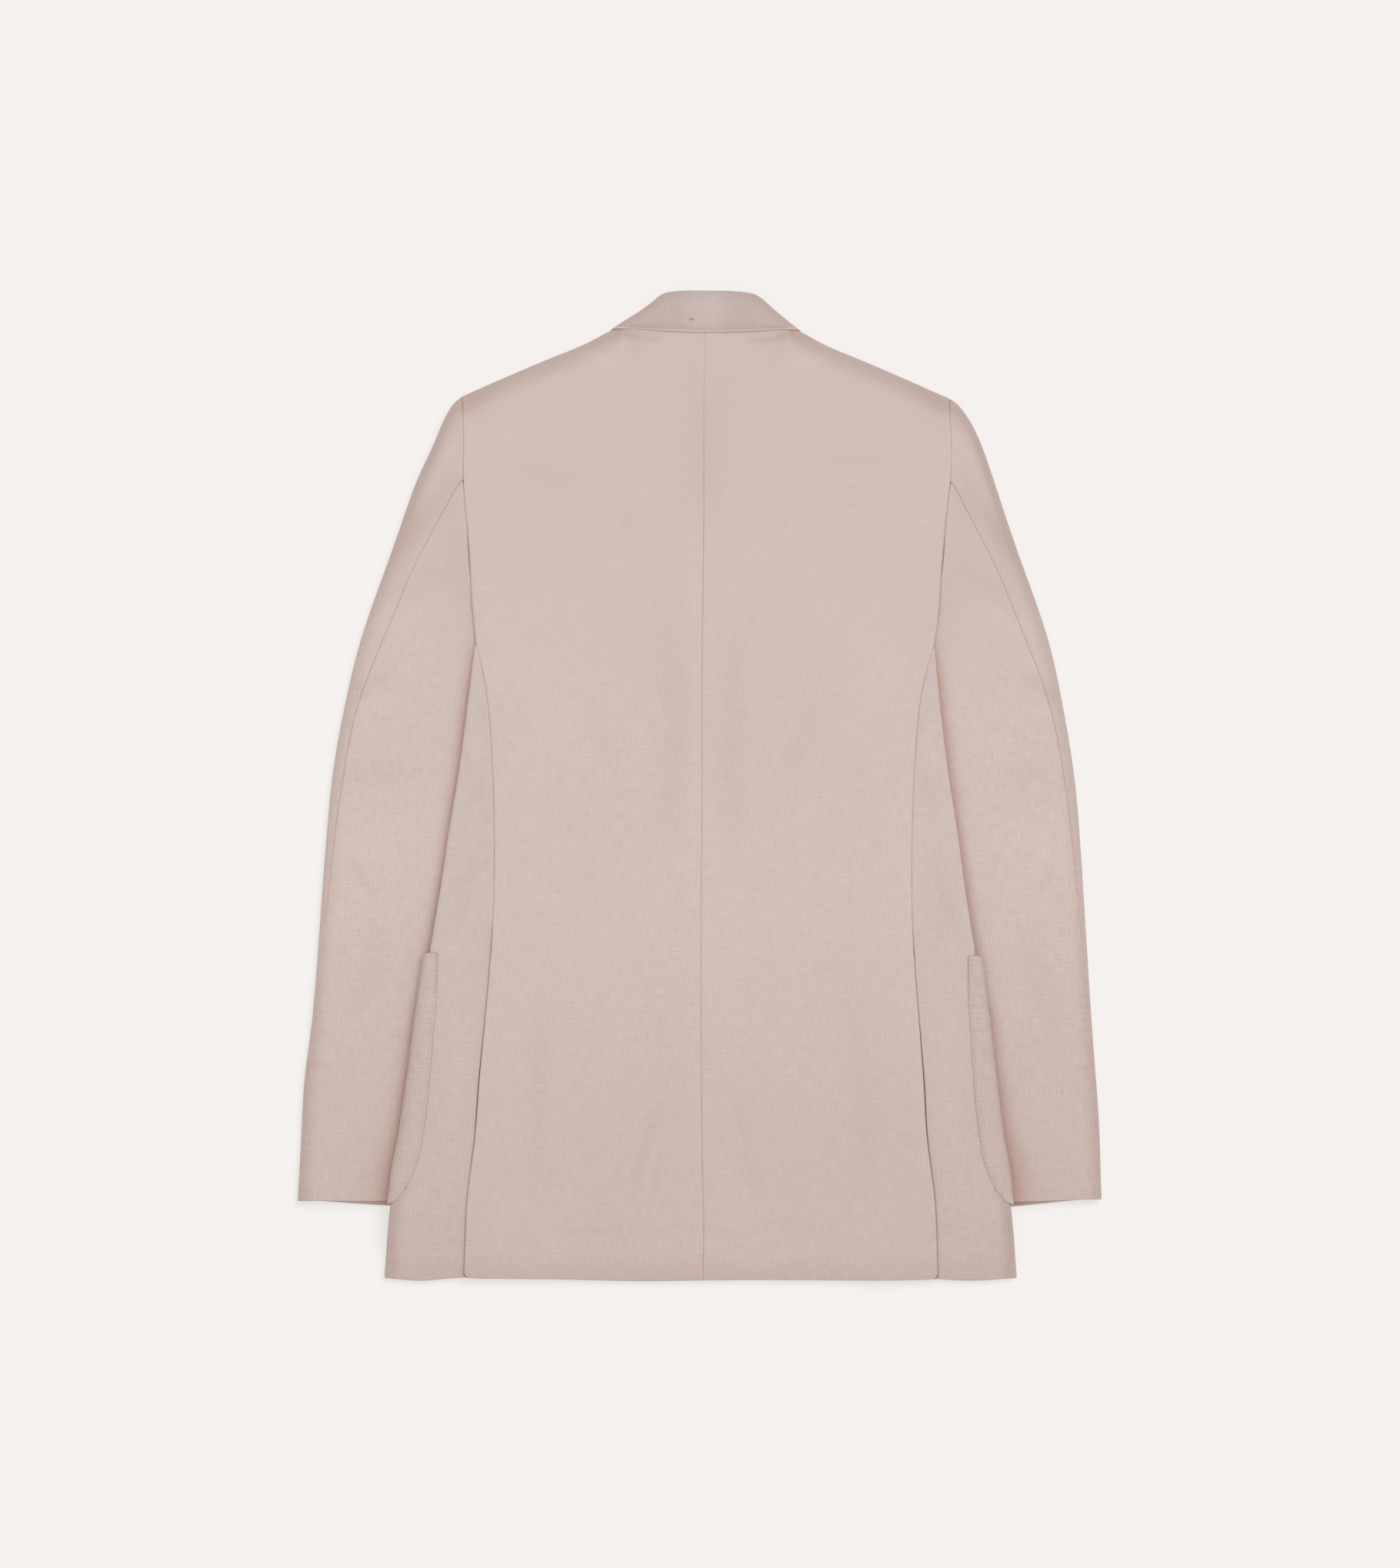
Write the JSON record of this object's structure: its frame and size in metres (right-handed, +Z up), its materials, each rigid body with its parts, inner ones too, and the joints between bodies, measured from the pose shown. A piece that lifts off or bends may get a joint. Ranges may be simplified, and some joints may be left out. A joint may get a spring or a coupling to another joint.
{
  "type": "double-breasted blazer",
  "caption": "Double-breasted linen blazer lying flat with its back up, sleeves tucked under its side edges.",
  "frame": {"origin": "centre of the bounding box at the surface that the blazer lies on", "axes": "+X to the wearer's right, +Y from hem to collar, +Z up, out of the back"},
  "size_m": [0.622, 0.7639, 0.0184],
  "materials": {
    "linen": "matte plain-weave linen, pinkish beige, light slubs along the weft",
    "linen_inner": "matte plain-weave linen, turned inside the garment",
    "button": "semi-gloss horn-like resin, mottled brown"
  },
  "bodies": {
    "root": {"back_left": "linen", "back_right": "linen", "side_left": "linen", "side_right": "linen", "vent_underlap_left": "linen_inner", "vent_underlap_right": "linen_inner", "front_left": "linen", "front_right": "linen", "lapel_left": "linen", "lapel_right": "linen", "top_sleeve_left": "linen", "top_sleeve_right": "linen", "under_sleeve_left": "linen", "under_sleeve_right": "linen", "patch_pocket_left": "linen", "patch_pocket_right": "linen", "collar_fall": "linen", "collar_stand": "linen_inner", "button_1": "button", "button_2": "button", "button_3": "button", "button_4": "button", "button_5": "button", "button_6": "button"}
  },
  "joints": []
}
